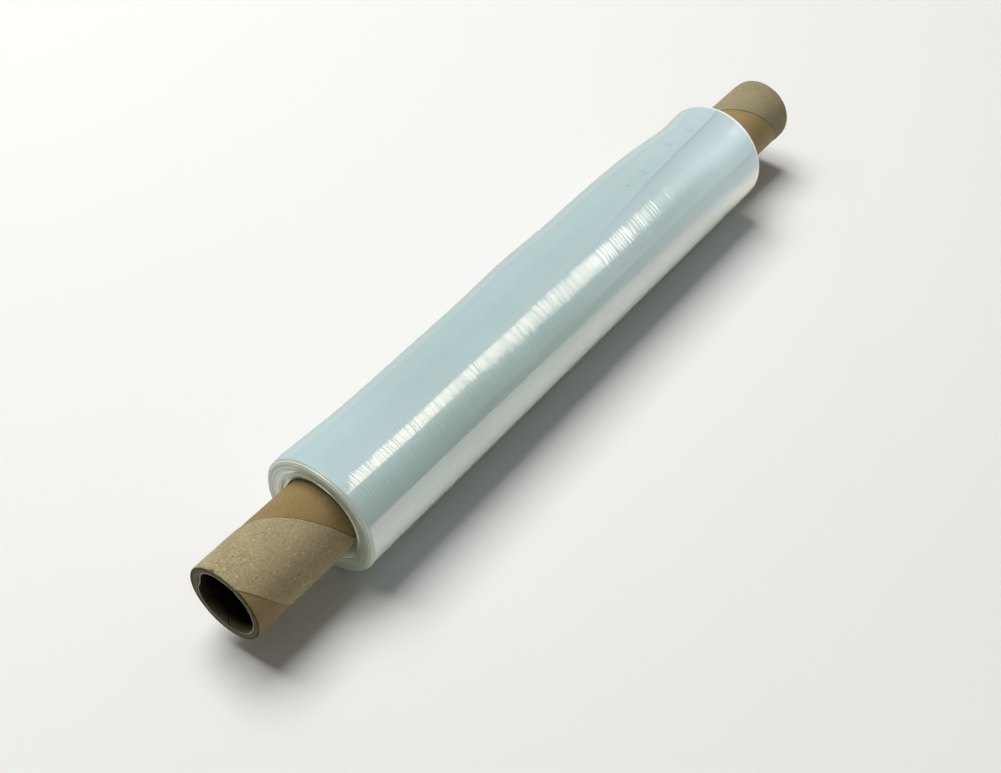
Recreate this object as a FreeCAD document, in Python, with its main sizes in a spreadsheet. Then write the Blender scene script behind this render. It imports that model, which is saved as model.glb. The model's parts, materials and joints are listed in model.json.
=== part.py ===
import FreeCAD, Part

import os

import Sketcher

# Hand roll of stretch film on a long paperboard core, lying on its side.
# Frame: X runs along the core from the near mouth to the far one, Z is up,
# and the origin is on the surface it lies on, under the middle of the core.
# All lengths are millimetres.

SIZES = {
    # Paperboard core, spiral wound from strips of board
    "core_length": 539.0,
    "core_bore": 38.0,
    "core_wall": 4.35,
    "mouth_chamfer": 0.5,
    # Outer board strip: it leaves a helical gap that bares the kraft ply below
    "ply_lead": 101.0,
    "ply_gap": 48.5,
    "ply_thickness": 0.4,
    "ply_edge_from_mouth": 44.4,
    # Wound film
    "film_width": 404.0,
    "film_radius": 37.4,
    "near_grip": 68.5,
    "winding_clearance": 0.05,
    "rim_chamfer": 1.6,
    "flat_depth": 0.35,
    # Film edges showing as rings on both end faces
    "rim_width": 5.4,
    "ring_depth": 0.35,
    "dish_depth": 1.9,
    # The outer turns are slack up and back from the core's axis: degrees above the horizontal
    "slack_direction": 33,
    "slack_most": 1.2,
    "slack_axis_drop": 2.0,
}

RING_COUNT = 6

# The slack line down the back of the film, at stations given as the share of the way
# from rim to rim, and how far it stands proud of the tight front's radius there.
SLACK = [
    ("near_rim", 0.0, -0.8),
    ("near_waist", 0.13, -1.8),
    ("first_rise", 0.27, -1.3),
    ("before_middle", 0.39, -0.6),
    ("middle_swell", 0.5, 0.9),
    ("middle_dip", 0.61, 0.5),
    ("far_swell", 0.74, 1.1),
    ("far_shoulder", 0.84, 0.3),
    ("far_fall", 0.895, -1.2),
    ("far_waist", 0.945, -2.8),
    ("far_rim", 1.0, -1.6),
]

# Derived sizes, as expressions on the sheet
CORE_RADIUS = "(sizes.core_bore / 2 + sizes.core_wall)"
WINDING_BORE_RADIUS = f"({CORE_RADIUS} + sizes.winding_clearance)"
NEAR_MOUTH = "(-sizes.core_length / 2)"
FILM_START = f"({NEAR_MOUTH} + sizes.near_grip)"
FILM_END = f"({FILM_START} + sizes.film_width)"
AXIS_HEIGHT = "(sizes.film_radius - sizes.flat_depth)"
RING_OUTER_RADIUS = "(sizes.film_radius - sizes.rim_width)"
RING_PITCH = f"(({RING_OUTER_RADIUS} - {WINDING_BORE_RADIUS}) / {RING_COUNT})"

# Cutters reach this far past what they cut
OVERCUT = 1.0

doc = FreeCAD.newDocument("stretch_film_roll")


def make_sheet():
    sheet = doc.addObject("Spreadsheet::Sheet", "sizes")
    cells = dict(SIZES)
    cells.update({"slack_" + name: proud for name, place, proud in SLACK})
    for row, (alias, value) in enumerate(cells.items(), start=1):
        sheet.set(f"A{row}", alias)
        sheet.set(f"B{row}", str(value))
        sheet.setAlias(f"B{row}", alias)
    doc.recompute()
    return sheet


def make_body(name):
    body = doc.addObject("PartDesign::Body", name)
    body.Label = name
    body.setExpression("Placement.Base.z", AXIS_HEIGHT)
    return body


def plane_of(body, role):
    for feature in body.Origin.OriginFeatures:
        if feature.Role == role:
            return feature
    raise ValueError(role)


def make_sketch(body, name, role, along=None):
    sketch = body.newObject("Sketcher::SketchObject", name)
    sketch.AttachmentSupport = (plane_of(body, role), [""])
    sketch.MapMode = "FlatFace"
    if along:
        sketch.setExpression("AttachmentOffset.Base.z", along)
    return sketch


def size_constraint(sketch, name, expression, *constraint):
    """Adds one named dimension and ties it to the sheet."""
    index = sketch.addConstraint(Sketcher.Constraint(*constraint))
    sketch.renameConstraint(index, name)
    sketch.setExpression("Constraints." + name, expression)


def add_circle(sketch, name, radius, guess, centre=None):
    """A circle on the sketch origin, or at a centre (x, y) given as expressions."""
    circle = Part.Circle(FreeCAD.Vector(0, 0, 0), FreeCAD.Vector(0, 0, 1), guess)
    index = sketch.addGeometry(circle, False)
    if centre is None:
        sketch.addConstraint(Sketcher.Constraint("Coincident", index, 3, -1, 1))
    else:
        size_constraint(sketch, name + "_y", centre[0], "DistanceX", -1, 1, index, 3, 0.1)
        size_constraint(sketch, name + "_z", centre[1], "DistanceY", -1, 1, index, 3, 0.1)
    size_constraint(sketch, name, radius, "Radius", index, guess)
    return index


def add_outline(sketch, corners):
    """A closed polygon whose corners are (name, x expression, y expression, (x, y) guess)."""
    count = len(corners)
    points = [FreeCAD.Vector(guess[0], guess[1], 0) for name, x, y, guess in corners]
    first = sketch.GeometryCount
    for i in range(count):
        sketch.addGeometry(Part.LineSegment(points[i], points[(i + 1) % count]), False)
    for i in range(count):
        after = first + (i + 1) % count
        sketch.addConstraint(Sketcher.Constraint("Coincident", first + i, 2, after, 1))
    for i, (name, x, y, guess) in enumerate(corners):
        size_constraint(sketch, name + "_x", x, "DistanceX", -1, 1, first + i, 1, guess[0])
        size_constraint(sketch, name + "_r", y, "DistanceY", -1, 1, first + i, 1, guess[1])


def circular_edges(feature, radius):
    """Names of the full circles of one radius on a feature."""
    names = []
    for number, edge in enumerate(feature.Shape.Edges, start=1):
        if isinstance(edge.Curve, Part.Circle) and abs(edge.Curve.Radius - radius) < 0.001:
            names.append(f"Edge{number}")
    return names


def cut_ply_gap(body):
    """Cuts the helical gap in the outer board strip, down to the kraft ply.

    ply_edge_from_mouth is where the gap's near edge crosses the top of the core. The cut
    begins a whole lead before that, outside the near mouth, and runs out past the far one.
    """
    sketch = make_sketch(body, "ply_gap_section", "XZ_Plane")
    near = f"({NEAR_MOUTH} + sizes.ply_edge_from_mouth - sizes.ply_lead)"
    add_outline(sketch, [
        ("near_floor", near, f"({CORE_RADIUS} - sizes.ply_thickness)", (-326, 22.9)),
        ("far_floor", f"({near} + sizes.ply_gap)", f"({CORE_RADIUS} - sizes.ply_thickness)",
         (-278, 22.9)),
        ("far_top", f"({near} + sizes.ply_gap)", f"({CORE_RADIUS} + {OVERCUT})", (-278, 24.3)),
        ("near_top", near, f"({CORE_RADIUS} + {OVERCUT})", (-326, 24.3)),
    ])
    doc.recompute()
    helix = body.newObject("PartDesign::SubtractiveHelix", "ply_gap_cut")
    helix.Profile = sketch
    helix.ReferenceAxis = (sketch, ["H_Axis"])
    helix.Mode = "pitch-height-angle"
    helix.Reversed = False
    helix.setExpression("Pitch", "sizes.ply_lead")
    helix.setExpression("Height", "sizes.core_length + 2 * sizes.ply_lead")
    doc.recompute()


def make_core():
    """The spiral-wound tube: every ply is glued, so it is one piece."""
    body = make_body("core_tube")
    section = make_sketch(body, "core_section", "YZ_Plane")
    add_circle(section, "outside", CORE_RADIUS, 23)
    add_circle(section, "bore", "sizes.core_bore / 2", 19)
    doc.recompute()
    tube = body.newObject("PartDesign::Pad", "core_wall_tube")
    tube.Profile = section
    tube.SideType = "Symmetric"
    tube.setExpression("Length", "sizes.core_length")
    doc.recompute()

    bore_radius = SIZES["core_bore"] / 2
    outer_radius = bore_radius + SIZES["core_wall"]
    mouths = body.newObject("PartDesign::Chamfer", "mouth_chamfers")
    mouths.Base = (tube, circular_edges(tube, outer_radius) + circular_edges(tube, bore_radius))
    mouths.setExpression("Size", "sizes.mouth_chamfer")
    doc.recompute()
    cut_ply_gap(body)
    return body


def make_turns(body):
    """The tight outer turns: a true cylinder, set off centre so that only its back is proud."""
    section = make_sketch(body, "turns_section", "YZ_Plane", FILM_START)
    shift = "sizes.slack_most / 2"
    centre = (f"{shift} * cos(sizes.slack_direction * 1 deg)",
              f"{shift} * sin(sizes.slack_direction * 1 deg)")
    add_circle(section, "turns", f"sizes.film_radius + {shift}", 38, centre)
    doc.recompute()
    turns = body.newObject("PartDesign::Pad", "outer_turns")
    turns.Profile = section
    turns.setExpression("Length", "sizes.film_width")
    doc.recompute()
    radius = SIZES["film_radius"] + SIZES["slack_most"] / 2
    rims = body.newObject("PartDesign::Chamfer", "rim_chamfers")
    rims.Base = (turns, circular_edges(turns, radius))
    rims.setExpression("Size", "sizes.rim_chamfer")
    doc.recompute()


def cut_slack(body):
    """Turns the back down to the slack line, and chamfers its rims.

    The cut's axis lies in front of the core's own, so the cut runs out on both flanks
    and leaves the front of the roll straight.
    """
    sketch = make_sketch(body, "slack_section", "XZ_Plane")
    sketch.AttachmentOffset = FreeCAD.Placement(
        FreeCAD.Vector(0, 0, 0), FreeCAD.Rotation(FreeCAD.Vector(1, 0, 0), -57))
    sketch.setExpression("AttachmentOffset.Rotation.Angle",
                         "(sizes.slack_direction - 90) * 1 deg")
    start = SIZES["near_grip"] - SIZES["core_length"] / 2
    end = start + SIZES["film_width"]
    rim = SIZES["rim_chamfer"]

    # The slack line, from the near rim's chamfer to the far one's
    corners = []
    for name, place, proud in SLACK:
        along = (f"{FILM_START} + sizes.rim_chamfer"
                 f" + {place} * (sizes.film_width - 2 * sizes.rim_chamfer)")
        guess = (start + rim + place * (end - start - 2 * rim), SIZES["film_radius"] + proud)
        corners.append((name, along, f"sizes.film_radius + sizes.slack_{name}", guess))
    near_guess, far_guess = corners[0][3], corners[-1][3]

    # Then over the far rim, and back round outside the roll
    far_low = "sizes.film_radius + sizes.slack_far_rim - sizes.rim_chamfer"
    near_low = "sizes.film_radius + sizes.slack_near_rim - sizes.rim_chamfer"
    top = f"sizes.film_radius + sizes.slack_most + {OVERCUT}"
    top_guess = SIZES["film_radius"] + SIZES["slack_most"] + OVERCUT
    corners += [
        ("far_face", FILM_END, far_low, (end, far_guess[1] - rim)),
        ("past_far", f"{FILM_END} + {OVERCUT}", far_low, (end + OVERCUT, far_guess[1] - rim)),
        ("far_top", f"{FILM_END} + {OVERCUT}", top, (end + OVERCUT, top_guess)),
        ("near_top", f"{FILM_START} - {OVERCUT}", top, (start - OVERCUT, top_guess)),
        ("past_near", f"{FILM_START} - {OVERCUT}", near_low,
         (start - OVERCUT, near_guess[1] - rim)),
        ("near_face", FILM_START, near_low, (start, near_guess[1] - rim)),
    ]
    add_outline(sketch, corners)

    axis = sketch.addGeometry(Part.LineSegment(FreeCAD.Vector(start, -2, 0),
                                               FreeCAD.Vector(end, -2, 0)), True)
    sketch.addConstraint(Sketcher.Constraint("Horizontal", axis))
    size_constraint(sketch, "axis_start", FILM_START, "DistanceX", -1, 1, axis, 1, start)
    size_constraint(sketch, "axis_end", FILM_END, "DistanceX", -1, 1, axis, 2, end)
    size_constraint(sketch, "axis_drop", "sizes.slack_axis_drop", "DistanceY", axis, 1, -1, 1, 2)
    doc.recompute()
    groove = body.newObject("PartDesign::Groove", "slack_back")
    groove.Profile = sketch
    groove.ReferenceAxis = (sketch, ["Axis0"])
    groove.Angle = 360
    doc.recompute()


def cut_rings(body, name, face, inward):
    """Sawtooth rings on one end face, each a band of turns that ends a little further in.

    face is the end plane's place along the core, and inward is 1 or -1.
    """
    sketch = make_sketch(body, name + "_section", "XZ_Plane")
    side = f"({face} - {inward * OVERCUT})"
    guess_x = -201 * inward
    corners = [("inside", side, f"({WINDING_BORE_RADIUS} - {OVERCUT})", (guess_x - inward, 22.4))]
    corners.append(("outside", side, RING_OUTER_RADIUS, (guess_x - inward, 32)))
    for ring in range(RING_COUNT):
        outer = f"({RING_OUTER_RADIUS} - {ring} * {RING_PITCH})"
        inner = f"({RING_OUTER_RADIUS} - {ring + 1} * {RING_PITCH})"
        dish = f"sizes.dish_depth * {ring + 1} / {RING_COUNT}"
        radius = 32 - 1.4 * ring
        if ring == RING_COUNT - 1:
            inner = f"({WINDING_BORE_RADIUS} - {OVERCUT})"
        low = f"({face} + {inward} * ({dish} + sizes.ring_depth))"
        high = f"({face} + {inward} * ({dish}))"
        guess_high = guess_x + 0.32 * (ring + 1) * inward
        corners.append((f"valley_{ring}", low, outer, (guess_high + 0.35 * inward, radius)))
        corners.append((f"crest_{ring}", high, inner, (guess_high, radius - 1.4)))
    add_outline(sketch, corners)
    doc.recompute()
    groove = body.newObject("PartDesign::Groove", name)
    groove.Profile = sketch
    groove.ReferenceAxis = (sketch, ["H_Axis"])
    groove.Angle = 360
    doc.recompute()
    return groove


def make_film():
    """All the turns of film as one solid, wound tight on the core."""
    body = make_body("wound_film")
    make_turns(body)
    cut_slack(body)
    flat = make_sketch(body, "flat_section", "YZ_Plane")
    reach = "(2 * sizes.film_radius)"
    add_outline(flat, [
        ("front_low", f"-{reach}", f"-{reach}", (-75, -75)),
        ("back_low", reach, f"-{reach}", (75, -75)),
        ("back_top", reach, f"-{AXIS_HEIGHT}", (75, -37)),
        ("front_top", f"-{reach}", f"-{AXIS_HEIGHT}", (-75, -37)),
    ])
    doc.recompute()
    bottom = body.newObject("PartDesign::Pocket", "resting_flat")
    bottom.Profile = flat
    bottom.Type = "ThroughAll"
    bottom.Midplane = True
    doc.recompute()

    cut_rings(body, "near_rings", FILM_START, 1)
    cut_rings(body, "far_rings", FILM_END, -1)

    hole = make_sketch(body, "winding_bore_section", "YZ_Plane")
    add_circle(hole, "winding_bore", WINDING_BORE_RADIUS, 23)
    doc.recompute()
    bore = body.newObject("PartDesign::Pocket", "winding_bore")
    bore.Profile = hole
    bore.Type = "ThroughAll"
    bore.Midplane = True
    doc.recompute()
    return body


def check(bodies):
    for item in doc.Objects:
        if "Invalid" in item.State or "Error" in item.State:
            raise RuntimeError(f"{item.Label} failed: {item.State}")
        if item.isDerivedFrom("PartDesign::Feature"):
            if item.Shape.isNull() or not item.Shape.isValid():
                raise RuntimeError(f"{item.Label} has no valid shape")
    for body in bodies:
        if len(body.Shape.Solids) != 1:
            raise RuntimeError(f"{body.Label} isn't one solid")


def main():
    make_sheet()
    bodies = [make_core(), make_film()]
    doc.recompute()
    check(bodies)
    os.makedirs("parts", exist_ok=True)
    for body in bodies:
        body.Shape.exportStep(os.path.join("parts", body.Label + ".step"))
        box = body.Shape.optimalBoundingBox()
        print(f"{body.Label}: {body.Shape.Volume / 1000:.1f} cm3, "
              f"X {box.XMin:.2f} to {box.XMax:.2f}, Y {box.YMin:.2f} to {box.YMax:.2f}, "
              f"Z {box.ZMin:.2f} to {box.ZMax:.2f}")


main()
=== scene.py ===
import json
import math

import bpy
from mathutils import Matrix, Vector, noise


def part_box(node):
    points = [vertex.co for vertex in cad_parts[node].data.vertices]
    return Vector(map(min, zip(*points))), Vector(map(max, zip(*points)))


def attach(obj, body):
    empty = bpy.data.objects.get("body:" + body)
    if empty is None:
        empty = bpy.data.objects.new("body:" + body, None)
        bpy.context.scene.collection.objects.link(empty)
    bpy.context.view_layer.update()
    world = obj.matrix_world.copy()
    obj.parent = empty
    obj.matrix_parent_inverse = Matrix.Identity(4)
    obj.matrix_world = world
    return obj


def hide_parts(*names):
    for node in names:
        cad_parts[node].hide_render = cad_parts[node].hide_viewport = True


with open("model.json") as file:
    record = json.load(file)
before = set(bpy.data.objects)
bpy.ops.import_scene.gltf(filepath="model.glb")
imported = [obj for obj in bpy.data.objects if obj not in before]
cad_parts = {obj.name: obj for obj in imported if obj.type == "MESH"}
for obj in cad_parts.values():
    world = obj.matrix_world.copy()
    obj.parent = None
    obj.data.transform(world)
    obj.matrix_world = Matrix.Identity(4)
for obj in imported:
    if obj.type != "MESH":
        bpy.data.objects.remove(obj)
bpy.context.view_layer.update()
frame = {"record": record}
print("frame loaded")

mm = 0.001
fullTurn = 2 * math.pi

# places that come from the frame
coreLow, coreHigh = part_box("core_tube")
filmLow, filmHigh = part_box("wound_film")
mounts = {mount["name"]: mount for mount in frame["record"]["mounts"]}
axisHeight = mounts["core_bore"]["pos_m"][2]
boreRadius = mounts["core_bore"]["dims"]["r_mm"] * mm
coreRadius = (coreHigh.z - coreLow.z) / 2


def smoothStep(low, high, value):
    share = min(1.0, max(0.0, (value - low) / (high - low)))
    return share * share * (3 - 2 * share)


def waveAt(place, points):
    # a smooth curve through (place, height) points
    for i in range(len(points) - 1):
        if place <= points[i + 1][0] or i == len(points) - 2:
            break
    last = len(points) - 1
    before, here, there, after = [points[max(0, min(last, i + k))] for k in (-1, 0, 1, 2)]
    span = there[0] - here[0]
    leave = (there[1] - before[1]) / (there[0] - before[0]) * span
    arrive = (after[1] - here[1]) / (after[0] - here[0]) * span
    t = min(1.0, max(0.0, (place - here[0]) / span))
    return ((2 * t ** 3 - 3 * t ** 2 + 1) * here[1] + (t ** 3 - 2 * t ** 2 + t) * leave
            + (3 * t ** 2 - 2 * t ** 3) * there[1] + (t ** 3 - t ** 2) * arrive)


def around(x, radius, angle):
    # angle 0 is the back, a quarter turn is the top
    return (x, radius * math.cos(angle), axisHeight + radius * math.sin(angle))


def gap(angle, centre):
    # signed distance between two angles
    return (angle - centre + math.pi) % fullTurn - math.pi


def gridPiece(name, rows, material, node, closeRows=True, closeEnds=False):
    # rows of points that each close on themselves, joined into one closed skin
    across = len(rows[0])
    faces = []
    last = len(rows) if closeRows else len(rows) - 1
    for i in range(last):
        upper = (i + 1) % len(rows)
        for j in range(across):
            right = (j + 1) % across
            faces.append((i * across + j, upper * across + j, upper * across + right,
                          i * across + right))
    points = [point for row in rows for point in row]
    if closeEnds:
        faces.append(tuple(range(across)))
        faces.append(tuple(range((len(rows) - 1) * across, len(rows) * across))[::-1])
    mesh = bpy.data.meshes.new(name)
    mesh.from_pydata(points, [], faces)
    mesh.validate()
    mesh.polygons.foreach_set("use_smooth", [True] * len(mesh.polygons))
    piece = bpy.data.objects.new(name, mesh)
    bpy.context.scene.collection.objects.link(piece)
    mesh.materials.append(material)
    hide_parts(node)
    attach(piece, "root")
    print(f"{name}: {len(points)} points")
    return piece


def plug(tree, socket, value):
    if isinstance(value, Wire):
        tree.links.new(value.socket, socket)
    elif isinstance(value, (tuple, list)) and len(value) == 3 and socket.type == "RGBA":
        socket.default_value = (*value, 1)
    else:
        socket.default_value = value


class Wire:
    # a socket that can be used in sums, each sum adding its Math node
    def __init__(self, tree, socket):
        self.tree = tree
        self.socket = socket

    def maths(self, operation, other=0.0, swapped=False):
        node = self.tree.nodes.new("ShaderNodeMath")
        node.operation = operation
        plug(self.tree, node.inputs[1 if swapped else 0], self)
        plug(self.tree, node.inputs[0 if swapped else 1], other)
        return Wire(self.tree, node.outputs[0])

    def __add__(self, other):
        return self.maths("ADD", other)

    def __radd__(self, other):
        return self.maths("ADD", other, swapped=True)

    def __sub__(self, other):
        return self.maths("SUBTRACT", other)

    def __rsub__(self, other):
        return self.maths("SUBTRACT", other, swapped=True)

    def __mul__(self, other):
        return self.maths("MULTIPLY", other)

    def __rmul__(self, other):
        return self.maths("MULTIPLY", other, swapped=True)

    def __truediv__(self, other):
        return self.maths("DIVIDE", other)

    def __pow__(self, other):
        return self.maths("POWER", other)

    def __abs__(self):
        return self.maths("ABSOLUTE")

    def __mod__(self, other):
        return self.maths("FLOORED_MODULO", other)


class Shader:
    def __init__(self, owner):
        owner.use_nodes = True
        self.tree = owner.node_tree
        self.tree.nodes.clear()

    def node(self, kind, settings={}, sockets={}, out=0):
        node = self.tree.nodes.new("ShaderNode" + kind)
        for key, value in settings.items():
            if key == "stops":
                ramp = node.color_ramp
                while len(ramp.elements) < len(value):
                    ramp.elements.new(0.5)
                for element, (place, colour) in zip(ramp.elements, value):
                    element.position = place
                    tone = colour if isinstance(colour, tuple) else (colour,) * 3
                    element.color = (*tone, 1)
            else:
                setattr(node, key, value)
        for key, value in sockets.items():
            plug(self.tree, node.inputs[key], value)
        return Wire(self.tree, node.outputs[out]) if node.outputs else None

    def axes(self, vector):
        return [self.node("SeparateXYZ", {}, {0: vector}, out=i) for i in range(3)]

    def vector(self, x, y, z):
        return self.node("CombineXYZ", {}, {0: x, 1: y, 2: z})

    def noise(self, vector, scale, detail=2.0, roughness=0.5):
        return self.node("TexNoise", {}, {"Vector": vector, "Scale": scale, "Detail": detail,
                                          "Roughness": roughness})

    def ease(self, value, low, high, start=0.0, end=1.0):
        return self.node("MapRange", {"interpolation_type": "SMOOTHSTEP"},
                         {0: value, 1: low, 2: high, 3: start, 4: end})

    def blend(self, factor, first, second, mode="MIX"):
        return self.node("Mix", {"data_type": "RGBA", "blend_type": mode},
                         {0: factor, 6: first, 7: second}, out=2)


def rollCoordinates(shader):
    # along the roll, distance from its axis, and angle round it in turns
    place = shader.node("TexCoord", out=3)
    x, y, z = shader.axes(place)
    up = z - axisHeight
    angle = up.maths("ARCTAN2", y) / fullTurn
    radius = (y * y + up * up) ** 0.5
    return place, x, y, up, radius, angle


film = {
    "tightRadius": 37.4 * mm,          # the front is wound tight
    "slackAngle": math.radians(33),    # the slack is up and back
    "slackLine": [                     # share of the width, mm proud of the tight radius
        (0.0, -0.8), (0.025, -0.4), (0.13, -1.8), (0.26, -1.3), (0.38, -0.7), (0.5, 0.95),
        (0.61, 0.4), (0.74, 1.1), (0.84, 0.3), (0.895, -1.2), (0.945, -2.6), (1.0, -1.5),
    ],
    "rimRound": 0.8 * mm,
    "nearFace": -201.1 * mm,           # the proudest turns of each end
    "farFace": 203.3 * mm,
    "nearBulge": [                     # share of the way to the core, mm back from the proudest
        (0.0, 1.6), (0.05, 0.75), (0.13, 0.2), (0.24, 0.0), (0.6, 1.0), (1.0, 2.5),
    ],
    "farBulge": [(0.0, 0.2), (0.1, 0.0), (0.5, 0.5), (1.0, 1.6)],
    "beads": [(0.94, 0.30), (0.86, 0.30), (0.765, 0.80), (0.66, 0.25)],   # loops that slipped out
    "beadWidth": 0.034,
    "ridges": [                        # wavelength, height and seed of the winding ridges
        (8.0 * mm, 0.006 * mm, 3.1), (2.6 * mm, 0.012 * mm, 7.7),
    ],
    "ridgeDrift": 3.0 * mm,
    "farSmoothing": 0.92,              # how much flatter they get at the far end
    "backSmoothing": 0.65,             # and at the back
    "slackSpread": 1.5,                # the higher, the narrower the slack part
    "coreGap": 0.05 * mm,
    "tailFade": 1.2,                   # radians over which the last turn's step runs out
    "mmPerTurn": 235,                  # once round the film
    "tailAngle": math.radians(92.8),   # the loose end of the film, laid along the roll
    "tailFrom": 188 * mm,
    "tailLean": 1.62,                  # radians round the roll for each metre along it
    "dashes": [                        # small wrinkles behind it, darkened with painted shade: place, and angles they span
        (171 * mm, 77, 93), (147 * mm, 75, 90), (111 * mm, 84, 95), (93 * mm, 86, 93),
    ],
    "tailStep": 0.10 * mm,
    "ringCount": 26,
    "ringHeight": 0.15 * mm,
    "pointsAround": 144,
    "stationsAlong": 555,
    "stationsOnNear": 62,
    "stationsOnFar": 28,
    "stationsOnRim": 5,
}
filmLength = filmHigh.x - filmLow.x


def atBack(angle):
    # 1 where the film is slackest, 0 opposite
    return (1 + math.cos(angle - film["slackAngle"])) / 2


def ridgeHeight(x, angle):
    back, up = math.cos(angle), math.sin(angle)
    drift = film["ridgeDrift"] * noise.noise(Vector((x * 14, back * 1.4, up * 1.4)))
    height = 0
    for wavelength, size, seed in film["ridges"]:
        spot = Vector(((x + drift) / wavelength, back * 0.8 + seed, up * 0.8))
        height += size * noise.noise(spot)
    # the far end and the back are wound smoother
    height *= 1 - film["farSmoothing"] * smoothStep(0.0, 0.10, x)
    return 2 * height * (1 - film["backSmoothing"] * atBack(angle) ** 2)


def tailHeight(x, angle):
    # the last turn ends in a straight cut edge
    turn = gap(angle, film["tailAngle"] + film["tailLean"] * (film["tailFrom"] - x))
    if turn < 0 or turn > film["tailFade"]:
        return 0
    fade = 1 - smoothStep(0.0, film["tailFade"], turn)
    return film["tailStep"] * smoothStep(0.02, 0.12, x) * fade


def filmRadius(x, angle):
    share = (x - filmLow.x) / filmLength
    slack = waveAt(share, film["slackLine"]) * mm
    radius = film["tightRadius"] + slack * atBack(angle) ** film["slackSpread"]
    radius += ridgeHeight(x, angle) + tailHeight(x, angle)
    below = -math.sin(angle)
    if below > 0.5:                    # it lies on its own small flat
        radius = min(radius, axisHeight / below)
    return radius


def faceDepth(share, angle, seed, bulge):
    # how far the turns on an end face stand back
    depth = waveAt(share, bulge) * mm
    ring = share * film["ringCount"]
    step = noise.noise(Vector((math.floor(ring) * 1.7 + seed, 0.3 * math.cos(angle), seed)))
    depth += film["ringHeight"] * (ring % 1.0) * 0.8
    depth += film["ringHeight"] * 2.2 * (step + 0.3) * smoothStep(0, 0.12, share)
    for place, proud in film["beads"]:
        depth -= proud * mm * math.exp(-((share - place) / film["beadWidth"]) ** 2)
    return max(depth, 0)


def filmRows():
    rims = film["rimRound"]
    angles = [fullTurn * j / film["pointsAround"] for j in range(film["pointsAround"])]
    innerRadius = coreRadius + film["coreGap"]
    ends = ((film["nearFace"], 1, 2.3, film["nearBulge"], film["stationsOnNear"]),
            (film["farFace"], -1, 5.9, film["farBulge"], film["stationsOnFar"]))
    sides = []
    for faceX, inward, seed, bulge, stations in ends:
        rimX = faceX + inward * bulge[0][1] * mm
        rim = {angle: filmRadius(rimX + inward * rims, angle) for angle in angles}
        side = []
        for i in range(stations):
            share = 1 - i / stations
            row = []
            for angle in angles:
                outer = rim[angle] - rims
                radius = outer + (innerRadius - outer) * share
                x = faceX + inward * faceDepth(share, angle, seed, bulge)
                row.append(around(x, radius, angle))
            side.append(row)
        for i in range(film["stationsOnRim"]):
            lean = math.pi / 2 * i / film["stationsOnRim"]
            side.append([around(rimX + inward * rims * (1 - math.cos(lean)),
                                rim[angle] - rims * (1 - math.sin(lean)), angle)
                         for angle in angles])
        sides.append(side)
    body = []
    start = film["nearFace"] + film["nearBulge"][0][1] * mm + rims
    span = film["farFace"] - film["farBulge"][0][1] * mm - rims - start
    for i in range(film["stationsAlong"] + 1):
        x = start + span * i / film["stationsAlong"]
        body.append([around(x, filmRadius(x, angle), angle) for angle in angles])
    rows = sides[0] + body + sides[1][::-1]
    # down the inside, against the core
    for i in range(1, 8):
        share = i / 8
        start, end = sides[1][0], sides[0][0]
        rows.append([tuple(a + (b - a) * share for a, b in zip(start[j], end[j]))
                     for j in range(len(angles))])
    return rows


filmTones = {
    "clouds": ((0.385, 0.515, 0.51), (0.42, 0.55, 0.55)),
    "ends": (0.47, 0.61, 0.63),        # paler towards both ends
    "ridges": (0.5, 0.60, 0.59),
    "behindTail": (0.46, 0.59, 0.57),  # one layer more lies here
    # painted shadow, just before the loose end
    "beforeTail": (0.37, 0.48, 0.52),
    "crease": (0.20, 0.29, 0.31),      # painted shade along the loose end's line, and in the wrinkles
    "lineWidth": 1.8,                  # mm to each side of the loose end
    "lineDepth": 0.26,
    "wrinkleDepth": 0.3,
    "turns": ((0.42, 0.48, 0.38), (0.66, 0.74, 0.62)),
    "outerTurns": (0.56, 0.63, 0.52),
    "atCore": (0.10, 0.10, 0.06),
    "deepTurns": (0.14, 0.165, 0.12),
    "farRim": (0.88, 0.93, 0.91),
}
filmGloss = {
    "roughness": (0.14, 0.36),         # outside, and on the edges of the turns
    "coat": (1.0, 0.4),
    "innerCoat": 0.6,                  # more of it on the innermost turns
    "ior": 1.8,
    "coatRoughness": 0.05,
    "coatIor": 2.0,
    "coarseHeight": 0.03 * mm,
    "fineHeight": 0.04 * mm,
    "ringHeights": (0.06 * mm, 0.24 * mm),
    "hairPitch": 3700,                 # radians of the hairlines' wave for each metre
    "farPitch": 1500,                  # less by this past the middle
    "hairRoughness": 0.22,
    "hairCoat": 0.85,
}


def tailMarks(shader, milk, x, angle):
    # the loose end is a thin line of painted shade that fades out along the roll
    lean = film["tailLean"] / fullTurn
    wander = shader.noise(shader.vector(x * 45, 0.0, 0.0), 1.0, 1.0) * 1.6
    behind = (film["tailAngle"] / fullTurn + lean * film["tailFrom"] - lean * x - angle) \
        * film["mmPerTurn"] + wander
    reach = shader.ease(x, 0.02, 0.13)
    # one layer paler behind it, and a little darker before it, a painted shadow of the loose end
    ahead = shader.ease(behind, 0.0, 0.8) * shader.ease(behind, 60, 30) * reach
    milk = shader.blend(ahead * 0.4, milk, filmTones["behindTail"])
    shade = shader.ease(behind, -11, -1) * shader.ease(behind, 0.8, 0.0) \
        * shader.ease(x, -0.05, 0.06)
    milk = shader.blend(shade * 0.6, milk, filmTones["beforeTail"])
    # painted shade along the loose end's step
    line = shader.ease(abs(behind), filmTones["lineWidth"], 0.0) * reach
    milk = shader.blend(line * filmTones["lineDepth"], milk, filmTones["crease"])
    # painted shade in each wrinkle
    for placed, first, last in film["dashes"]:
        dash = shader.ease(abs(x - placed), 2.2 * mm, 0.2 * mm) \
            * shader.ease(angle, first / 360, (0.4 * first + 0.6 * last) / 360) \
            * shader.ease(angle, last / 360, (0.2 * first + 0.8 * last) / 360)
        milk = shader.blend(dash * filmTones["wrinkleDepth"], milk, filmTones["crease"])
    return milk


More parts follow.
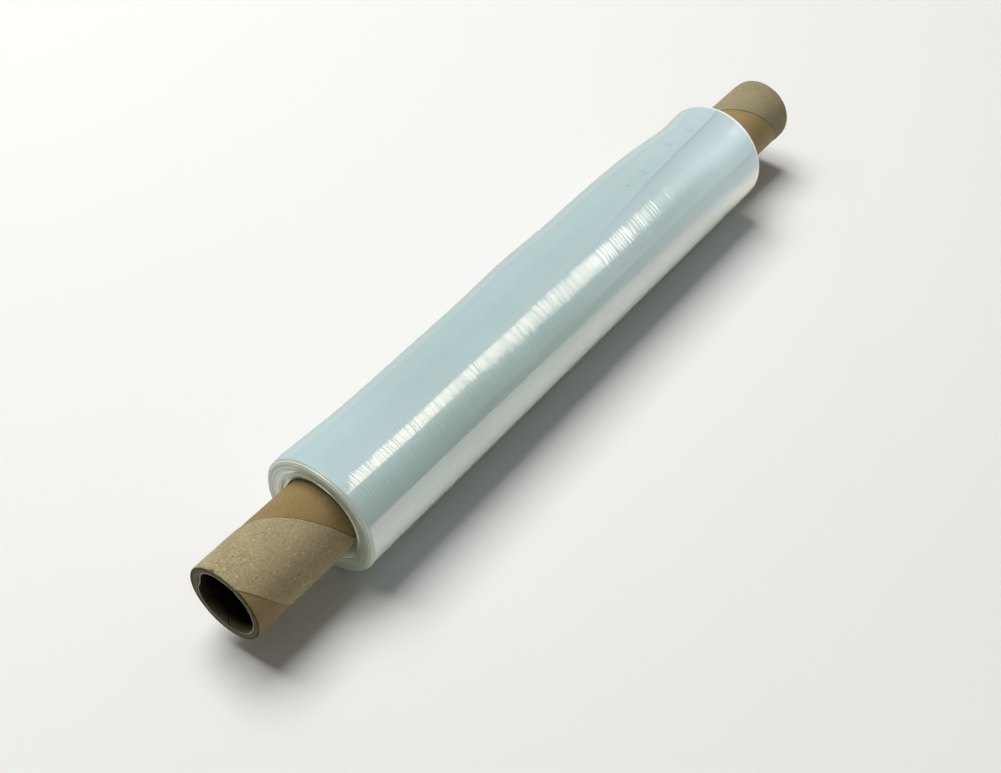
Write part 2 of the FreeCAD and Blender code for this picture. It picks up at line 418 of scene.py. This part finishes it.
def edgeTones(shader, rings, inward, radius, y):
    # the cut edges of the turns are denser and a little warmer
    tone = shader.blend(shader.ease(rings, 0.38, 0.62), *filmTones["turns"])
    tone = shader.blend((1 - inward) * 0.7, tone, filmTones["outerTurns"])
    # painted shade where the turns meet the core
    atCore = shader.ease(radius, coreRadius + 0.7 * mm, coreRadius + 0.1 * mm)
    tone = shader.blend(atCore * 0.8, tone, filmTones["atCore"])
    # painted shade on the inner turns at the front, near the core
    deep = shader.ease(radius, 31.5 * mm, 25.5 * mm) * shader.ease(y, -5 * mm, -14 * mm)
    return shader.blend(deep * 0.5, tone, filmTones["deepTurns"])


def hairlines(shader, x, y, up, angle, drift, coarse):
    # they break up the gloss, and stand closer in the middle than at the far end
    hairs = shader.noise(shader.vector((x + drift) * 1000, y * 36, up * 36), 1.1, 2.0, 0.7)
    pitch = (x + drift) * filmGloss["hairPitch"] \
        - (x - 0.03).maths("MAXIMUM", 0.0) * filmGloss["farPitch"]
    comb = (pitch + coarse * 9).maths("SINE")
    # more of them towards the edges of the glossy band, and along it to the far end
    middle = shader.ease(x, -0.2, -0.1, 0.344, 0.331) + shader.ease(x, -0.09, 0.0, 0.0, 0.011)
    fromBand = (abs(angle - middle) * 42).maths("MINIMUM", 1.1)
    more = (fromBand ** 2 * 0.65 + shader.ease(x, 0.04, 0.11, 0.0, 0.75)) \
        * shader.ease(up, 19 * mm, 27 * mm)
    # most at the front, fewer at the back, none on top
    atSides = shader.ease(y, -12.8 * mm, -15 * mm) \
        * shader.ease(up, 18 * mm, 30 * mm, 0.35, 1.0) * shader.ease(x, 0.17, 0.13, 0.3, 1.0) \
        + shader.ease(y, 25 * mm, 31 * mm, 0.0, 0.6)
    return shader.ease(comb * 0.55 + (hairs - 0.5) * 3.8 - more, -0.20, -0.70) * atSides


def filmFinish():
    material = bpy.data.materials.new("stretchFilm")
    shader = Shader(material)
    x, y, up, radius, angle = rollCoordinates(shader)[1:]

    # coordinates pulled out round the roll, so that marks run round it and not along it
    drift = shader.noise(shader.vector(x * 30, y * 40, up * 40), 1.0) * 0.004
    hoop = shader.vector((x + drift) * 1000, y * 16, up * 16)
    coarse = shader.noise(hoop, 0.40, 1.0)
    fine = shader.noise(hoop, 0.90, 1.0, 0.6)
    cloud = shader.noise(shader.vector(x * 6, y * 14, up * 14), 1.0, 3.0)

    milk = shader.blend(shader.ease(cloud, 0.35, 0.65), *filmTones["clouds"])
    toEnd = shader.ease(x, 0.09, 0.17) + shader.ease(x, -0.11, -0.18, 0.0, 0.6)
    milk = shader.blend(toEnd, milk, filmTones["ends"])
    front = shader.ease(y, -9.5 * mm, -15 * mm)
    ridged = shader.ease(fine, 0.45, 0.7) * (0.03 + 0.12 * front)
    milk = shader.blend(ridged, milk, filmTones["ridges"])
    milk = tailMarks(shader, milk, x, angle)

    # the end faces, their rims, and how far in towards the core a turn lies
    fromEnd = (x - film["nearFace"]).maths("MINIMUM", film["farFace"] - x)
    onRim = shader.ease(fromEnd, 2.3 * mm, 1.7 * mm) * shader.ease(x, 0.1, 0) \
        + shader.ease(fromEnd, 0.9 * mm, 0.3 * mm) * shader.ease(x, 0, 0.1)
    onTurns = shader.ease(fromEnd, 6.5 * mm, 5.5 * mm) * shader.ease(radius, 35.0 * mm, 34.2 * mm)
    onFace = 1 - (1 - onRim) * (1 - onTurns)
    rings = shader.noise(shader.vector(radius * 2000, y * 5, up * 5), 1.0, 2.0, 0.7)
    inward = shader.ease(radius, 34 * mm, 28 * mm)
    colour = shader.blend(onFace, milk, edgeTones(shader, rings, inward, radius, y))
    # painted highlight: a pale line round the far rim
    farRim = shader.ease(fromEnd, 2.8 * mm, 1.4 * mm) * shader.ease(x, 0, 0.1)
    colour = shader.blend(farRim * 0.9, colour, filmTones["farRim"])

    smoother = shader.ease(x, 0.0, 0.09, 1.0, 0.1)
    lower = shader.ease(up, 6 * mm, -10 * mm, 1.0, 0.5)
    height = (coarse * filmGloss["coarseHeight"] + fine * filmGloss["fineHeight"]) \
        * smoother * lower * (0.2 + 0.8 * front) * (1 - onFace) \
        + rings * shader.ease(inward, 0, 1, *filmGloss["ringHeights"]) * onTurns
    ridge = shader.node("Bump", {}, {"Strength": 1.0, "Distance": 1.0, "Height": height})
    dulled = hairlines(shader, x, y, up, angle, drift, coarse) * (1 - onFace) * lower
    roughness = shader.ease(onFace, 0, 1, *filmGloss["roughness"])
    coat = shader.ease(onFace, 0, 1, *filmGloss["coat"]) \
        + onTurns * inward * filmGloss["innerCoat"]
    surface = shader.node("BsdfPrincipled", {}, {
        "Base Color": colour,
        "Roughness": roughness + dulled * filmGloss["hairRoughness"],
        "IOR": filmGloss["ior"],
        "Normal": ridge,
        "Coat Weight": coat * (1 - dulled * filmGloss["hairCoat"]),
        "Coat Roughness": filmGloss["coatRoughness"],
        "Coat IOR": filmGloss["coatIor"],
    })
    shader.node("OutputMaterial", {}, {"Surface": surface})
    return material


gridPiece("filmRoll", filmRows(), filmFinish(), "wound_film")
print("stretch film wound")


core = {
    "plyThickness": 0.4 * mm,
    "lead": 101 * mm,                  # one turn of the plies along the tube
    "gapWidth": 48.5 * mm,
    "gapFromMouth": 44.4 * mm,         # where the gap's near edge crosses the top
    "mouthRound": 0.8 * mm,
    "boreRound": 0.35 * mm,
    "pointsAround": 192,
    "wearHeight": 0.22 * mm,
    "linerThickness": 0.65 * mm,
    "flapAngle": math.radians(18),     # the plies have lifted into the bore here
    "flapSpread": 0.36,
    "flapReach": 2.7 * mm,
    "flapDepth": 3.5 * mm,
    "tearAngle": math.radians(80),     # a nick in the outer strip at the mouth
    "tearDepth": 1.6 * mm,
}


def boreInset(mouth, depth, angle):
    # how far the plies stand into the bore at the near mouth
    if not mouth:
        return 0
    lift = math.exp(-(gap(angle, core["flapAngle"]) / core["flapSpread"]) ** 2)
    return core["flapReach"] * lift * (1 - smoothStep(0, core["flapDepth"], depth))


def mouthDrop(x, rounding):
    # how far the outside falls away at a worn mouth
    depth = min(x - coreLow.x, coreHigh.x - x)
    if depth >= rounding:
        return 0
    return rounding - math.sqrt(max(0, rounding ** 2 - (rounding - depth) ** 2))


def kraftRows():
    angles = [fullTurn * j / core["pointsAround"] for j in range(core["pointsAround"])]
    outer = coreRadius - core["plyThickness"]
    inner = boreRadius + core["linerThickness"]
    rounding = core["mouthRound"]
    depths = [0, 0.05, 0.12, 0.25, 0.4, 0.6, 0.8, 1.2, 2, 4, 8, 16, 32, 48, 64, 80]
    fromMouth = [depth * mm for depth in depths]
    middle = (coreHigh.x - coreLow.x) / 2
    outside = [coreLow.x + depth for depth in fromMouth] + [0] \
        + [coreHigh.x - depth for depth in fromMouth[::-1]]
    rows = []
    for x in outside:
        rows.append([around(x, outer - mouthDrop(x, rounding) * 0.55, angle) for angle in angles])
    for mouthX, inward, flap in ((coreHigh.x, -1, 0), (coreLow.x, 1, 1)):
        start = outer - rounding * 0.55
        face = []
        for i in range(1, 14):
            share = i / 14
            row = []
            for angle in angles:
                innermost = inner + core["boreRound"] - boreInset(flap, 0, angle)
                radius = start + (innermost - start) * share
                back, up = math.cos(angle), math.sin(angle)
                wear = noise.noise(Vector((radius * 900, back * 3, up * 3 + mouthX)))
                ply = noise.noise(Vector((radius * 2600, 0.6 * back, 0.6 * up)))
                depth = core["wearHeight"] * (0.8 * abs(wear) + 0.9 * abs(ply))
                row.append(around(mouthX + inward * depth, radius, angle))
            face.append(row)
        inside = []
        for depth in [0.05, 0.2, 0.35, 0.8, 1.5, 2.3, 3.2, 5, 9, 18, 40, 80, 140]:
            row = []
            for angle in angles:
                radius = inner - boreInset(flap, depth * mm, angle)
                if depth < 0.35:
                    radius += core["boreRound"] - math.sqrt(
                        core["boreRound"] ** 2 - (core["boreRound"] - depth * mm) ** 2)
                row.append(around(mouthX + inward * depth * mm, radius, angle))
            inside.append(row)
        if inward < 0:
            rows += face + inside
        else:
            rows += inside[::-1] + face[::-1]
    return rows


def linerRows():
    # the innermost ply, a thin tube whose edge shows as a pale ring in each mouth
    angles = [fullTurn * j / core["pointsAround"] for j in range(core["pointsAround"])]
    depths = [0, 0.06, 0.2, 0.5, 1, 1.6, 2.3, 3.2, 5, 9, 18, 40, 80, 140, 200]
    stations = [(coreLow.x, 1, depth * mm, 1) for depth in depths] \
        + [(coreHigh.x, -1, depth * mm, 0) for depth in depths[::-1]]
    skins = []
    for side in (0, 1):
        skin = []
        for mouthX, inward, depth, flap in stations:
            row = []
            for angle in angles:
                spot = Vector((7 * math.cos(angle), 7 * math.sin(angle), mouthX))
                ragged = 0.10 * mm + 0.16 * mm * noise.noise(spot)
                rounded = min(1.0, depth / (0.2 * mm))
                thick = core["linerThickness"] * (0.35 + 0.65 * rounded)
                middle = boreRadius + core["linerThickness"] / 2 - boreInset(flap, depth, angle)
                radius = middle + (thick / 2 if side else -thick / 2)
                row.append(around(mouthX + inward * (depth + ragged * (1 - min(1, depth / mm))),
                                  radius + 0.02 * mm * side, angle))
            skin.append(row)
        skins.append(skin)
    return skins[0] + skins[1][::-1]


def stripRows():
    # the outer strip, a thin closed ribbon that winds from mouth to mouth
    width = core["lead"] - core["gapWidth"]
    rounding = core["mouthRound"]
    edge = 0.35 * mm
    step = math.radians(2.5)
    angle = math.pi / 2 - fullTurn * core["gapFromMouth"] / core["lead"] + 0.004
    rows = []
    while True:
        high = coreLow.x + core["gapFromMouth"] + core["lead"] * (angle - math.pi / 2) / fullTurn
        low = high - width
        if low > coreHigh.x - 0.05 * mm:
            break
        fray = 0.16 * mm * noise.noise(Vector((angle * 9, 2.0, 0))) \
            + 0.08 * mm * noise.noise(Vector((angle * 31, 5.0, 0)))
        nick = core["tearDepth"] * math.exp(-(gap(angle, core["tearAngle"]) / 0.05) ** 2)
        low = max(low + fray, coreLow.x + nick * (low < coreLow.x))
        high = min(high + fray, coreHigh.x)
        span = max(high - low, 0.02 * mm)
        places = [0, 0.12 * mm, 0.3 * mm, 0.6 * mm, 1.2 * mm, 2.5 * mm, 5 * mm]
        places = [min(place, span * (0.05 + 0.06 * i)) for i, place in enumerate(places)]
        stops = places + [span / 2] + [span - place for place in places[::-1]]
        row = []
        for stop in stops:
            x = low + stop
            side = min(x - low, high - x)
            fall = 0
            if low > coreLow.x + 0.1 * mm and x - low < edge:
                fall = 1 - math.sqrt(max(0, 1 - (1 - (x - low) / edge) ** 2))
            if high < coreHigh.x - 0.1 * mm and high - x < edge:
                fall = 1 - math.sqrt(max(0, 1 - (1 - (high - x) / edge) ** 2))
            rough = 0.03 * mm * noise.noise(Vector((x * 600, angle * 14, 0)))
            radius = coreRadius - core["plyThickness"] * fall * 0.8 + rough * (1 - fall) \
                - mouthDrop(x, rounding)
            row.append(around(x, radius, angle))
        under = coreRadius - core["plyThickness"] - 0.08 * mm
        row.append(around(high, under - mouthDrop(high, rounding), angle))
        row.append(around(low, under - mouthDrop(low, rounding), angle))
        rows.append(row)
        angle += step
    return rows


def boardFinish(name, light, deep, fleck, farTone, roughness, ior, grain, plies):
    material = bpy.data.materials.new(name)
    shader = Shader(material)
    place, x, y, up, radius, angle = rollCoordinates(shader)
    blotch = shader.noise(place, 45, 3.0, 0.5)
    pulp = shader.noise(place, 900, 2.0, 0.65)
    dust = shader.noise(place, 1700, 1.0)
    onFar = shader.ease(x, 0.19, 0.21)
    mealy = (1 - onFar * 0.65) * grain
    colour = shader.blend(shader.ease(blotch, 0.3, 0.7), deep, light)
    colour = shader.blend(shader.ease(pulp, 0.40, 0.66) * mealy, colour, fleck)
    dusty = [tone * 0.55 for tone in deep]
    colour = shader.blend(shader.ease(dust, 0.56, 0.40) * mealy * 0.45, colour, dusty)
    specks = shader.noise(place, 620, 1.0)
    sparse = max(0, 1.9 * grain - 0.7)
    colour = shader.blend(shader.ease(specks, 0.735, 0.765) * sparse, colour, (0.75, 0.68, 0.50))
    colour = shader.blend(shader.ease(specks, 0.265, 0.225) * sparse, colour, (0.07, 0.055, 0.03))
    # short curled fibres, pale and dark
    strands = shader.noise(place, 330, 2.0, 0.6)
    patches = shader.noise(place, 210, 1.0)
    pale = shader.ease(abs(strands - 0.5), 0.020, 0.004) * shader.ease(patches, 0.52, 0.62)
    dark = shader.ease(abs(strands - 0.44), 0.014, 0.003) * shader.ease(patches, 0.46, 0.36)
    colour = shader.blend(pale * mealy * 0.5, colour, (0.55, 0.48, 0.33))
    colour = shader.blend(dark * mealy * 0.5, colour, (0.13, 0.10, 0.055))
    if plies:
        phase = (x - coreLow.x - core["gapFromMouth"]) / core["lead"] - (angle - 0.25)
        wrapped = phase % 1.0
        # painted shadow of the strip's edge, a dark line along it
        gapShare = core["gapWidth"] / core["lead"]
        line = shader.ease(wrapped, 0.011, 0.002) + shader.ease(wrapped, gapShare - 0.005, gapShare)
        colour = shader.blend(line * 0.6, colour, (0.09, 0.055, 0.022))
    # painted light and shade: the far end is made lighter on the kraft and darker on the board, for
    # how the light falls there
    colour = shader.blend(onFar, colour, shader.blend(1.0, colour, farTone, "MULTIPLY"))
    # cut ends show the grey middle plies, and the bore its own liner
    mouth = shader.ease(x, coreLow.x + 1.0 * mm, coreLow.x + 0.3 * mm) \
        + shader.ease(x, coreHigh.x - 1.0 * mm, coreHigh.x - 0.3 * mm)
    layers = shader.noise(shader.vector(radius * 2400, y * 20, up * 20), 1.0, 2.0)
    cut = shader.blend(shader.ease(layers, 0.35, 0.65), (0.044, 0.034, 0.016), (0.13, 0.104, 0.054))
    onCut = mouth * shader.ease(radius, coreRadius - 0.3 * mm, coreRadius - 0.6 * mm)
    colour = shader.blend(onCut, colour, cut)
    # painted shade: the outer edge of the mouth is darkened in patches on the sides that lie in
    # shade
    shadedSides = shader.ease(angle, 0.31, 0.345) + shader.ease(angle, 0.08, -0.02)
    shadePatches = shader.noise(shader.vector(x * 300, y * 160, up * 160), 1.0, 2.0)
    edge = mouth * shader.ease(radius, coreRadius - 1.9 * mm, coreRadius - 1.1 * mm) * shadedSides
    colour = shader.blend(edge * shader.ease(shadePatches, 0.25, 0.5), colour, (0.022, 0.018, 0.010))
    height = pulp * 0.00008 + blotch * 0.00004 + dust * 0.00003
    bump = shader.node("Bump", {}, {"Strength": 0.8, "Distance": 1.0, "Height": height})
    surface = shader.node("BsdfPrincipled", {}, {
        "Base Color": colour, "Roughness": roughness, "IOR": ior, "Normal": bump,
    })
    shader.node("OutputMaterial", {}, {"Surface": surface})
    return material


def linerFinish():
    material = bpy.data.materials.new("linerPly")
    shader = Shader(material)
    place, x, y, up, radius, angle = rollCoordinates(shader)
    pulp = shader.noise(place, 900, 2.0, 0.65)
    inside = (coreHigh.x - x).maths("MINIMUM", x - coreLow.x)
    # painted shade: darker inwards from each mouth, with painted light on the lower wall near it;
    # and a seam that winds like the outer strip
    lit = shader.ease(inside, 8 * mm, 0.5 * mm) * shader.ease(angle, -0.09, -0.17, 0.25, 1.0)
    colour = shader.blend(lit, (0.006, 0.005, 0.003), (0.13, 0.11, 0.06))
    pulpy = shader.ease(pulp, 0.45, 0.7) * shader.ease(inside, 8 * mm, 0) * 0.5
    colour = shader.blend(pulpy, colour, (0.16, 0.14, 0.09))
    seam = ((x - coreLow.x) / core["lead"] - angle - 0.25) % 1.0
    onSeam = shader.ease(abs(seam - 0.5), 0.4960, 0.4985)
    colour = shader.blend(onSeam, colour, (0.004, 0.003, 0.002))
    lip = shader.ease(inside, 0.6 * mm, 0.3 * mm)
    # painted shade: the pale lip darker on its lower left
    shaded = shader.ease(angle, -0.02, -0.08) * shader.ease(angle, -0.42, -0.34)
    colour = shader.blend(lip * (1 - 0.55 * shaded), colour, (0.38, 0.36, 0.28))
    bump = shader.node("Bump", {}, {"Strength": 0.8, "Distance": 0.0001, "Height": pulp})
    surface = shader.node("BsdfPrincipled", {}, {
        "Base Color": colour, "Roughness": 0.9, "IOR": 1.08, "Normal": bump,
    })
    shader.node("OutputMaterial", {}, {"Surface": surface})
    return material


kraft = {
    "light": (0.265, 0.185, 0.078),
    "deep": (0.22, 0.150, 0.060),
    "fleck": (0.31, 0.23, 0.12),
    "farTone": (1.22, 1.24, 1.27),     # multiplies the colour at the far end, painted light
    "roughness": 0.65,
    "ior": 1.3,
    "grain": 0.35,
    "plies": True,                     # shows the painted shadow along the outer strip's edges
}
greyBoard = {
    "light": (0.36, 0.295, 0.16),
    "deep": (0.30, 0.243, 0.128),
    "fleck": (0.43, 0.37, 0.23),
    # painted shade: the far end a little darker
    "farTone": (0.85, 0.89, 0.96),
    "roughness": 0.9,
    "ior": 1.25,
    "grain": 0.8,
    "plies": False,
}
kraftMaterial = boardFinish("kraftPly", **kraft)
boardMaterial = boardFinish("greyBoard", **greyBoard)
gridPiece("coreTube", kraftRows(), kraftMaterial, "core_tube")
gridPiece("linerPly", linerRows(), linerFinish(), "core_tube")
gridPiece("boardStrip", stripRows(), boardMaterial, "core_tube",
          closeRows=False, closeEnds=True)
print("core wound")


studio = {
    "floorSize": 12.0,
    "floorColour": (0.775, 0.768, 0.745),
    "floorGloss": (0.42, 0.40, 0.30),  # what the floor adds in the film's gloss
    "skyStrength": 0.17,
    "windowColour": (2.95, 2.55, 2.2),
    "sideColour": (3.0, 3.05, 2.8),
    "backdrop": (0.62, 0.62, 0.60),    # what the camera sees past the floor
    "endColour": (1.6, 1.65, 1.6),
    "aim": Vector((-0.05, 0, 0.05)),   # what the lamp faces
    "softTop": {"azimuth": 80, "elevation": 67, "distance": 2.6, "size": (1.7, 1.7), "power": 82},
}


def addLamp(name, azimuth, elevation, distance, size, power, gloss=True):
    lamp = bpy.data.lights.new(name, "AREA")
    lamp.shape = "RECTANGLE"
    lamp.size, lamp.size_y = size      # along the roll, and round it
    lamp.energy = power
    side, rise = math.radians(azimuth), math.radians(elevation)
    away = Vector((math.cos(rise) * math.cos(side), math.cos(rise) * math.sin(side),
                   math.sin(rise)))
    along = (Vector((1, 0, 0)) - away * away.x).normalized()
    holder = bpy.data.objects.new(name, lamp)
    turned = Matrix((along, away.cross(along), away)).transposed().to_4x4()
    holder.matrix_world = Matrix.Translation(studio["aim"] + away * distance) @ turned
    bpy.context.scene.collection.objects.link(holder)
    holder.visible_glossy = gloss
    return holder


def stageSheet(name, corners, height, material):
    mesh = bpy.data.meshes.new(name)
    mesh.from_pydata([(x, y, height) for x, y in corners], [], [tuple(range(len(corners)))])
    sheet = bpy.data.objects.new(name, mesh)
    bpy.context.scene.collection.objects.link(sheet)
    mesh.materials.append(material)
    return sheet


def floorFinish():
    material = bpy.data.materials.new("studioFloor")
    shader = Shader(material)
    matte = shader.node("BsdfPrincipled", {}, {
        "Base Color": studio["floorColour"], "Roughness": 0.9, "Specular IOR Level": 0.1})
    y = shader.axes(shader.node("TexCoord", out=3))[1]
    isGloss = shader.node("LightPath", out=3) * shader.ease(abs(y + 0.01), 0.012, 0.036)
    lift = shader.node("Emission", {}, {"Color": shader.blend(isGloss, (0, 0, 0),
                                                              studio["floorGloss"])})
    both = shader.node("AddShader", {}, {0: matte, 1: lift})
    shader.node("OutputMaterial", {}, {"Surface": both})
    return material


def cardFinish(name, nearColour, farColour, low, high, fan):
    # a plain card that only gloss can see, so it lights nothing and casts no shadow
    material = bpy.data.materials.new(name)
    shader = Shader(material)
    x, y, z = shader.axes(shader.node("TexCoord", out=3))
    out = -0.035 - y                   # its colours fan out from the near end of the roll
    along = (x - 0.832 * fan * out) / (1 + 1.66 * fan * out)
    colour = shader.blend(shader.ease(along, low, high), nearColour, farColour)
    shader.node("OutputMaterial", {}, {"Surface": shader.node("Emission", {}, {"Color": colour})})
    return material


half = studio["floorSize"] / 2
stageSheet("studioFloor", [(-half, -half), (half, -half), (half, half), (-half, half)], 0,
           floorFinish())
cards = [
    stageSheet("frontCard", [(-3, -3), (3, -3), (3, 0.2), (0.50, 0.02), (0.27, -0.09),
                             (0.17, -0.148), (0.06, -0.215), (0, -0.233), (-3, -0.25)],
               0.5 * mm, cardFinish("frontCard", (0.46, 0.54, 0.43), (1.05, 1.17, 1.15),
                                    -0.17, 0.19, 1)),
    stageSheet("backCard", [(-3, 0.05), (3, 0.05), (3, 3), (-3, 3)],
               0.5 * mm, cardFinish("backCard", (0.55, 0.61, 0.60), (0.55, 0.60, 0.59),
                                    -0.15, 0.45, 0)),
]
for card in cards:
    for flag in ("visible_camera", "visible_diffuse", "visible_shadow", "visible_transmission"):
        setattr(card, flag, False)


def skyFinish():
    world = bpy.data.worlds.new("studioSky")
    shader = Shader(world)
    x, y, z = shader.axes(shader.node("TexCoord", out=0))
    rise = z.maths("ARCTAN2", y) / math.pi   # 0 behind the roll, 0.5 above it, 1 in front
    behind = shader.node("ValToRGB", {"stops": [
        (0.0, (0.42, 0.46, 0.47)), (0.20, (0.42, 0.46, 0.48)), (0.33, (0.39, 0.43, 0.46)),
        (0.46, (0.60, 0.67, 0.68)), (0.58, (0.98, 1.0, 1.0))]}, {0: rise})
    inFront = shader.blend(shader.ease(x, 0.48, 0.78), (0.52, 0.60, 0.47), (1.23, 1.42, 1.45))
    fall = shader.ease(rise, 0.66, 1.0, 1.15, 0.95)
    inFront = shader.blend(1.0, inFront, fall, "MULTIPLY")
    gloss = shader.blend(shader.ease(rise, 0.55, 0.70), behind, inFront)
    # a tall window whose edges wander, brightest towards its two sides
    wander = shader.noise(shader.vector(x * 45, 0.0, 0.0), 1.0, 1.0) - 0.5
    lowEdge = shader.ease(x, 0.415, 0.485, 0.105, 0.0) + shader.ease(x, 0.58, 0.65, 0.590, 0.606) \
        + wander * 0.06
    highEdge = shader.ease(x, 0.54, 0.63, 0.709, 0.803) \
        + wander * shader.ease(x, 0.55, 0.6, 0.0, 0.04)
    inside = shader.ease(rise - lowEdge, -0.010, 0.012) \
        * shader.ease(highEdge - rise, -0.005, 0.005)
    strength = shader.node("ValToRGB", {"stops": [
        (0.395, 0.0), (0.415, 0.9), (0.53, 1.0), (0.56, 0.9), (0.62, 0.65), (0.67, 0.95),
        (0.70, 0.7), (0.715, 0.35), (0.728, 0.1), (0.74, 0.0)]}, {0: x})
    pane = shader.blend(1.0, strength, studio["windowColour"], "MULTIPLY")
    gloss = shader.blend(inside, gloss, pane, "ADD")
    # a narrow one past the near end, for the turns of that face
    beside = shader.ease(x, -0.45, -0.70) * shader.ease(rise, 0.18, 0.27) \
        * shader.ease(rise, 0.48, 0.40)
    gloss = shader.blend(beside, gloss, studio["sideColour"], "ADD")
    # and one past the far end
    beyond = shader.ease(x, 0.82, 0.92) * shader.ease(z, -0.05, 0.1)
    gloss = shader.blend(beyond, gloss, studio["endColour"], "ADD")
    isGloss = shader.node("LightPath", out=3)
    colour = shader.blend(isGloss, (studio["skyStrength"],) * 3, gloss)
    colour = shader.blend(shader.node("LightPath"), colour, studio["backdrop"])
    shader.node("OutputWorld", {}, {"Surface": shader.node("Background", {}, {"Color": colour})})
    return world


bpy.context.scene.world = skyFinish()
addLamp("softTop", **studio["softTop"], gloss=False)

# camera from the photograph's perspective
view = {
    "place": Vector((-0.5116, -0.3472, 0.5822)),
    "right": Vector((0.59382, -0.80460, 0.0)),
    "up": Vector((0.56487, 0.41689, 0.71212)),
    "lens": 49.01,
}
cameraData = bpy.data.cameras.new("camera")
cameraData.lens = view["lens"]
cameraData.sensor_width = 36
camera = bpy.data.objects.new("camera", cameraData)
backward = view["right"].cross(view["up"]).normalized()
axes = Matrix((view["right"], view["up"], backward)).transposed().to_4x4()
camera.matrix_world = Matrix.Translation(view["place"]) @ axes
bpy.context.scene.collection.objects.link(camera)
bpy.context.scene.camera = camera
bpy.context.scene.view_settings.view_transform = "Standard"
print("studio set")
